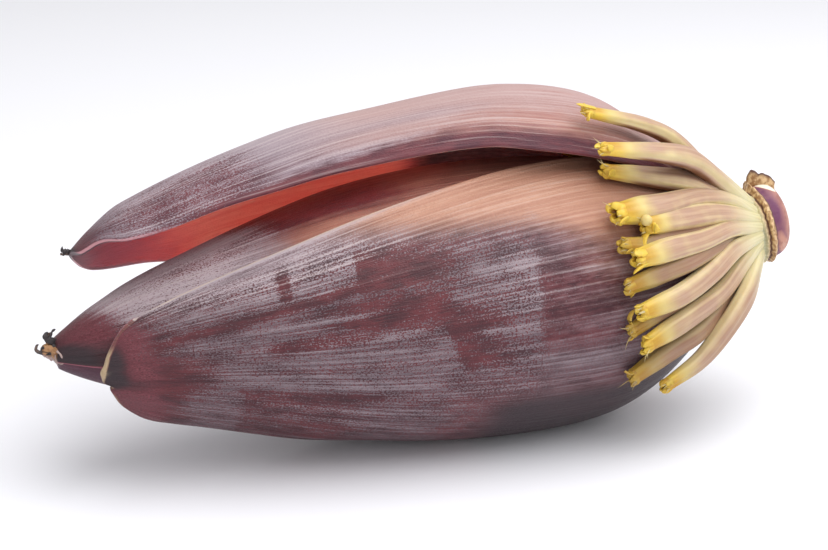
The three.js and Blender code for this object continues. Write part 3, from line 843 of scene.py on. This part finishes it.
HAND = [  # path, widths, mouth's length and gape, tongues' place, length, width, bow and sway
    ([(55.5, 64, 74), (75, 56.8, 74.5), (87.5, 47.8, 76), (98.6, 35.2, 73.5), (108.3, 22.6, 68),
      (120, 12.5, 64)],
     (7.6, 7.0, 5.0), (2.4, 0.3), [(10, 7, 3.0, 0), (-90, 7.5, 2.6, 85), (90, 4, 3, 110)]),
    ([(57, 59, 62), (72.7, 56, 61.3), (88.9, 46.5, 63.8), (103, 32, 66), (120, 12.8, 62)],
     (6.4, 7.8, 5.6), (3.0, 0.3), [(-40, 3.5, 2.4, 60), (100, 4, 2.0, 20)]),
    ([(61, 48, 64), (76, 43.8, 62.5), (90, 37, 62.5), (101, 28.5, 61), (119, 12.8, 56)],
     (6.4, 8.0, 6.0), (2.6, 0.35), [(-70, 4, 3.0, 60)]),
    ([(58, 50, 43), (74, 45, 46), (92, 35.5, 52.5), (108, 24, 56), (120.5, 12.8, 47)],
     (5.4, 7.2, 8.6), (3.2, 0.58), [(-75, 5, 3.2, 25), (60, 4.5, 2.2, 0)]),
    ([(66, 48.5, 38), (80, 42.5, 40), (95, 34, 42), (108, 24, 41.5), (120.5, 12.8, 36)],
     (5.2, 7.4, 7.2), (1.8, 0.35),
     [(80, 10, 2.8, 320, 10), (-40, 4.5, 3.4, 120), (-110, 8.5, 3.2, 95, 10)]),
    ([(58, 48.5, 31), (66, 45.5, 31), (76, 42.5, 32), (96, 32, 34), (116, 13, 33)],
     (4.4, 5.4, 6.0), (3.0, 0.4), [(70, 4, 2.2, 20), (-60, 4, 2.0, 30)]),
    ([(61, 49.5, 26), (74, 45.5, 28), (87, 39.5, 29), (104, 27.5, 32), (120.5, 12.8, 24)],
     (5.0, 6.6, 7.6), (2.2, 0.5), [(30, 5, 3.4, 10), (-80, 6.5, 3.2, 28)]),
    ([(58, 47.5, 16.5), (69, 44.5, 19), (81, 42, 21), (97, 31, 24), (116, 13, 22)],
     (4.4, 5.2, 6.0), (2.8, 0.3), [(-90, 3, 2, 50)]),
    ([(60.5, 50, 7), (75, 46, 9.5), (90, 37.5, 13), (104, 27, 17.5), (120.5, 12.8, 11)],
     (5.0, 6.8, 6.6), (3.0, 0.3), [(90, 4.5, 2.4, 10), (-60, 5, 2.4, -25)]),
    ([(58, 47.5, 0), (68, 44.5, 4), (78, 42, 7.5), (92, 33.5, 12), (116, 13, 10)],
     (4.4, 5.2, 5.6), (2.2, 0.35), [(80, 8.5, 2.0, 215), (-90, 4, 2.6, 20)]),
    ([(62.5, 50, -5), (78, 44.5, -1), (96, 33.5, -1), (108, 24, 2), (120.5, 12.6, 0)],
     (5.0, 6.4, 6.6), (2.8, 0.45), [(-90, 5.5, 2.6, -20), (80, 4.5, 2.0, 60)]),
    ([(60.5, 48, -20), (73, 44, -15), (86, 39.5, -13), (106, 24, -13), (119, 12.4, -12)],
     (5.0, 6.8, 6.6), (2.4, 0.35), [(85, 8, 2.0, 80, -15), (-90, 3.4, 2.6, 30)]),
    ([(72.7, 49, -26), (85.5, 44.5, -23.5), (96, 39.3, -17), (107, 30.5, -13), (120.5, 12.6, -20)],
     (7.2, 7.0, 5.8), (2.8, 0.4), [(60, 3, 2.4, 10)]),
]


def open_flowers():
    """The hand of flowers that shows, numbered from the top as the frame's nodes are."""
    # the flowers lying under the others get a browner copy of the skin as painted shade
    outer_skin, shaded_skin = petals("outer_petals", painted_shade=0), petals("shaded_petals", painted_shade=0.42)
    for number, (path, widths, mouth, tongues) in enumerate(HAND, 1):
        bloom = Flower(path, widths, number * 1.37)
        bloom.mouth(*mouth)
        for tongue in tongues:
            bloom.tongue(*tongue)
        if number == BEADED:
            bloom.bead(20, reach=3.4, wide=3.6)
        bloom.hairs(3)
        skin = shaded_skin if number in INNER_ROW else outer_skin
        bloom.piece(f"open_flower_{number:02d}", skin, "flower", [f"flower_{number:02d}"])
    return outer_skin


def covered_flowers(skin):
    """The next hand, which lies under the raised bract."""
    for number, degrees in enumerate(range(94, 155, 12), 1):
        tip = 66 if number % 2 else 71
        bends = ((tip, 3.2, 2), (84, 3.0, 1.4), (98, 2.6, 0.6), (108.4, 2.0, 0))
        path = [(x, bud_radius(x) + gap, degrees - turned) for x, gap, turned in bends]
        bloom = Flower(path, (2.6, 4.6, 5.0), 40 + number * 1.7)
        bloom.mouth(2.2, 0.4)
        bloom.hairs(2)
        bloom.piece(f"covered_bloom_{number}", skin, "flower", [f"covered_flower_{number}"])


# ---- dry tips ----
def withered_end(made):
    """The crust at the end of the inner bracts, rough and pitted with black."""
    s = np.linspace(0, 1, 26)[:, None]
    path = [(-107.5, -0.6, 41.4), (-110.9, -1, 42.2), (-113.2, -1.4, 42.9), (-115.2, -1.6, 43.2)]
    turn = turns(40)[None, :]
    rough = 1 + 0.26 * noise(turn * 2.6, s * 8, 71) + 0.2 * noise(turn * 6, s * 18, 72)
    reach = curve((0, 4.0), (0.3, 3.3), (0.6, 2.6), (0.85, 1.7), (0.97, 0.9), (1, 0.05))(s) * rough
    ring = channels(0 * turn, -np.cos(turn), np.sin(turn))
    pits = np.clip(ease(0.3, 0.8, noise(turn * 3, s * 9, 73)) + ease(0.9, 1, s), 0, 1)
    points = spline(path, len(s))[:, None] + ring * reach[..., None]
    made.grid(points, channels(0, pits, ease(-0.2, -0.8, np.sin(turn))))


def add_scrap(made, width, flat, black, pale, points):
    """A dry shred along a line of points, tapering to its end."""
    steps = 18
    path = spline(points, steps)
    taper = np.interp(np.linspace(0, 1, steps), (0, 0.5, 0.9, 1), (1, 0.9, 0.5, 0.15))
    wave = 1 + 0.5 * noise(np.arange(steps) / 1.8, width * 7, 74)
    made.tube(path, width / 2 * taper * wave, (0, black, pale), flat, (0.2, -1, 0.3))


def dry_skin():
    """Brown crust with black and ashen parts."""
    n = Nodes("dry_skin")
    black, pale = n.parts(n.attribute("petal"))[1:]
    place = n.place()
    fine, soft = n.cloud(place, 900, 3), n.cloud(place, 260, 1)
    ashen = n.mix(fine, (150, 120, 118), (206, 190, 186))
    charred = n.mix(fine, (24, 20, 24), (66, 58, 60))
    color = n.mix(n.step(n.sum(soft, (fine, 0.6)), 0.55, 1), (104, 66, 42), (172, 128, 88))
    color = n.mix(n.times(pale, 0.8), color, ashen)
    color = n.mix(n.step(n.sum(black, (fine, 0.4), -0.2), 0.3, 0.7), color, charred)
    return n.finish(color, 0.6, n.sum(fine, soft), 0.25)


SCRAPS = [  # width, flatness, black, pale and path
    (2.5, 0.35, 1, 0,
     [(-110.2, -1, 44.9), (-111.6, -1.8, 45.9), (-113.1, -2, 46.7), (-113.3, -1.8, 47.9),
      (-112.5, -1.4, 48.7)]),
    (1.3, 0.5, 0.9, 0,
     [(-110.8, -1, 45.4), (-111.9, -1.8, 46.6), (-111.8, -1.6, 47.8), (-111.1, -1, 48.7),
      (-110.1, -0.6, 49.1)]),
    (1.3, 0.3, 0.3, 0.1,
     [(-112.6, -1.2, 44.6), (-112.9, -1.6, 46), (-112.6, -1.4, 47.4), (-111.9, -1, 48.4)]),
    (1.2, 0.5, 0.6, 0.5,
     [(-113.8, -2, 42.6), (-115.4, -2.4, 42.9), (-116.5, -2.2, 43.8), (-116.1, -1.8, 45),
      (-115.5, -1.6, 45.2)]),
    (0.75, 0.8, 0.15, 1,
     [(-110.6, -4.2, 43.3), (-109.8, -5.2, 42.6), (-109.2, -5.6, 41), (-109.4, -5, 39.4), (-110.6, -4, 39.8),
      (-111.2, -3.8, 41.4), (-110.9, -4, 42.8)]),
    (1.5, 0.7, 1, 0, [(-102.8, 9.6, 69.4), (-104.2, 9.2, 69.9), (-105.2, 9, 70.3), (-105.1, 9, 71.6)]),
    (1.3, 0.7, 0.6, 0.4, [(-103.4, 9.4, 69.3), (-104.8, 9.2, 69), (-105.9, 9, 69.3)]),
]


def dry_tips():
    """The inner bracts' withered end with its curled black scraps, and the raised bract's black nib."""
    made = Mesh()
    withered_end(made)
    for scrap in SCRAPS:
        add_scrap(made, *scrap)
    made.piece("dry_tips", dry_skin(), "inner_bract", [])


# ---- stem ----
stub_radius = curve(
    (106, 6.5), (112, 11), (116, 12.8), (120, 13.0), (124, 12.5), (126, 12.3), (128.2, 12.7), (129.8, 12.7),
    (131.4, 12.1), (132.8, 10.8), (134, 8.4), (134.8, 5.2), (135.1, 0.2),
)


def stem_point(station, radius, degrees):
    """A point round the curving stem, on a section square to it; the stub turns a little to the front."""
    turned = np.radians(9)
    slope = (axis_height(station + 0.5) - axis_height(station - 0.5)) * (1 - 0.32 * ease(112, 124, station))
    level = 1 / np.sqrt(1 + slope**2)
    yaw = turned * ease(114, 124, station)
    angle = np.radians(degrees)
    up, side = radius * np.sin(angle), -radius * np.cos(angle)
    shift = -np.sin(turned) * np.maximum(station - 119, 0)
    return channels(
        station - up * slope * level + side * np.sin(yaw), shift + side * np.cos(yaw),
        axis_height(station) + ease(112, 124, station) + up * level,
    )


def stem_body(made):
    """The neck, the ragged double collar and the stub; the petal attribute holds tan, cut and groove.

    cut is 0 on the neck, 1 on the stub's side, 2 on its cut end and 3 on a white patch under the flap.
    """
    rows = [np.linspace(106, 121, 36), np.linspace(121.3, 129.0, 48), np.linspace(129.2, 135.1, 44)]
    x = np.concatenate(rows)[:, None]
    turn = np.linspace(0, 360, 181)[None, :-1]
    top = np.exp(-(((turn - 88) / 30) ** 2))
    ragged = 0.5 * noise(turn / 5, 0.5, 41) + 0.4 * noise(turn / 14, 1.5, 42)
    first_at = 125.0 - 2.6 * top + 0.4 * ragged
    second_at = 127.0 - 1.2 * top + 0.3 * ragged
    first = (1.1 + 0.5 * top) * np.exp(-(((x - first_at) / 0.6) ** 2))
    second = (1.7 + 0.5 * top) * np.exp(-(((x - second_at) / 0.9) ** 2))
    collar = (first + second) * (1 + 0.35 * noise(turn / 4, x / 2, 43))
    ribs = 0.22 * noise(turn / 7, x / 30, 44) * ease(124, 118, x)
    points = stem_point(x, stub_radius(x) + collar + ribs, turn)

    tan = ease(-0.9, 0.3, x - first_at) * ease(1.4, 0.9, x - second_at)
    tan = tan * (0.65 + 0.35 * ease(0.4, 0.9, x - first_at))
    cut = ease(1.0, 1.4, x - second_at) * (1 + ease(129.5, 134, x + 0.8 * np.sin(np.radians(turn))))
    white = 3 * spot(x, turn + 5 * (x - 131), 130.4, 78, 2.9, 12, 0.3)
    wisp = 2.35 * spot(x, turn + 8 * (x - 131), 130.6, 324, 2.8, 26, 0.8)
    cut = np.maximum(np.maximum(cut, white), wisp)
    groove = ease(0.45, 0.1, abs(x - (first_at + second_at) / 2 - 0.2 * ragged))
    groove = groove + 0.7 * ease(0.35, 0.1, abs(x - second_at - 1.25))
    made.grid(points, channels(tan, cut, groove), 14, 3)


def torn_flap(made):
    """The dry flap that stands over the stub, with a dark upper edge."""
    along = np.linspace(0, 1, 40)[:, None]
    up = np.linspace(0, 1, 12)[None, :]
    height = curve(
        (0, 0.6), (0.1, 4.2), (0.24, 6.6), (0.38, 6.2), (0.5, 4.8), (0.68, 4.4), (0.88, 2.6), (1, 0.4),
    )(along) + 0.3 * noise(along * 14, 0.5, 45)
    station = 125.4 + 8.0 * along
    base = stub_radius(station) - 0.4
    radius = base + (11.4 + height - base) * up
    middle = stem_point(station + 0.8 * up**2, radius, 104 - 24 * along + 4 * up)
    sheet = Sheet(middle, 0.9, np.minimum(np.minimum(along, 1 - along) * 9, (1 - up) * height))
    tan, cut, groove = 1.0, 0.0, ease(0.74, 0.92, up) + 0 * along
    made.add(sheet.points, sheet.faces, sheet.both(channels(tan, cut, groove)), sheet.points)


def stem_skin():
    """Pale green neck, tan bark on the collar, and a purple stub with a mottled cut end."""
    n = Nodes("stem_skin")
    tanned, cut, groove = n.parts(n.attribute("petal"))
    place = n.place()
    fine, soft, spots = n.cloud(place, 700, 3), n.cloud(place, 110, 1), n.cloud(place, 420)
    fibre = n.cloud(n.attribute("fibre"), 1)
    rind = n.mix(n.sum((cut, 0.9), (soft, 1.3), (fine, 0.3), -1.75), (110, 62, 92), (190, 138, 120))
    mottled = n.times(n.step(cut, 1.3, 1.8), n.step(spots, 0.48, 0.62))
    bark = n.mix(n.step(fine, 0.36, 0.64), (160, 116, 74), (226, 192, 146))
    color = n.mix(n.step(n.sum((fibre, 0.7), (soft, 0.3)), 0.3, 0.7), (198, 194, 152), (218, 215, 182))
    color = n.mix(n.step(cut, 0, 0.9), color, rind)
    color = n.mix(n.times(mottled, 0.6), color, (142, 92, 84))
    color = n.mix(n.step(cut, 2.3, 2.6), color, (238, 232, 212))
    color = n.mix(n.times(tanned, 0.95), color, bark)
    color = n.mix(groove, color, (84, 50, 40))
    return n.finish(color, 0.55, n.sum(fine, soft), 0.25, Specular_IOR_Level=0.35)


def stem():
    """The neck, a ragged double collar where bracts fell off, and a cut stub with a torn flap over it."""
    made = Mesh()
    stem_body(made)
    torn_flap(made)
    made.piece("stem", stem_skin(), "stem", ["peduncle"])


# ---- stage ----
def floor():
    """A plain pale floor, wide enough to reach the picture's top."""
    mesh = bpy.data.meshes.new("floor")
    reach = 6.0
    corners = [(-reach, -reach, 0), (reach, -reach, 0), (reach, reach, 0), (-reach, reach, 0)]
    mesh.from_pydata(corners, [], [(0, 1, 2, 3)])
    n = Nodes("floor")
    grit = n.cloud(n.place(), 3000)
    mesh.materials.append(n.finish(n.mix(grit, (242, 242, 247), (247, 247, 252)), 0.6, grit, 0.02))
    add_object("floor", mesh)


def lamp(name, location, size, power):
    """A round soft light turned to the blossom's middle."""
    blossom_middle = Vector((0, 0, 0.05))
    light = bpy.data.lights.new(name, "AREA")
    light.shape = "DISK"
    light.size = size
    light.energy = power
    holder = add_object(name, light)
    holder.location = location
    holder.rotation_euler = (blossom_middle - Vector(location)).to_track_quat("-Z", "Y").to_euler()


def studio():
    """An even white surround, a big light overhead and a weak one in front."""
    world = bpy.data.worlds.new("studio")
    bpy.context.scene.world = world
    world.use_nodes = True
    background = world.node_tree.nodes["Background"]
    background.inputs["Color"].default_value = (1, 1, 1, 1)
    background.inputs["Strength"].default_value = 0.6
    lamp("overhead", (0.3, -0.22, 1.0), 1.45, 13)
    lamp("fill", (0.1, -1.3, 0.7), 1.2, 3)
    bpy.context.scene.view_settings.view_transform = "Standard"


def camera():
    """The photo's view: 20 degrees round to the tip's side and 18 above the table."""
    azimuth, elevation, distance = math.radians(-20), math.radians(18), 0.62
    target = Vector((STATION_ZERO + 4.0, AXIS_Y, 53.2)) * MM
    level = math.cos(elevation)
    back = Vector((math.sin(azimuth) * level, -math.cos(azimuth) * level, math.sin(elevation)))
    lens = bpy.data.cameras.new("camera")
    lens.lens = 85
    lens.sensor_width = 36
    holder = add_object("camera", lens)
    holder.location = target + back * distance
    holder.rotation_euler = back.to_track_quat("Z", "Y").to_euler()
    bpy.context.scene.camera = holder


camera()
floor()
studio()
front_bract()
upper_bract()
raised_bract()
closed_heart()
dry_tips()
petal_skin = open_flowers()
covered_flowers(petal_skin)
stem()
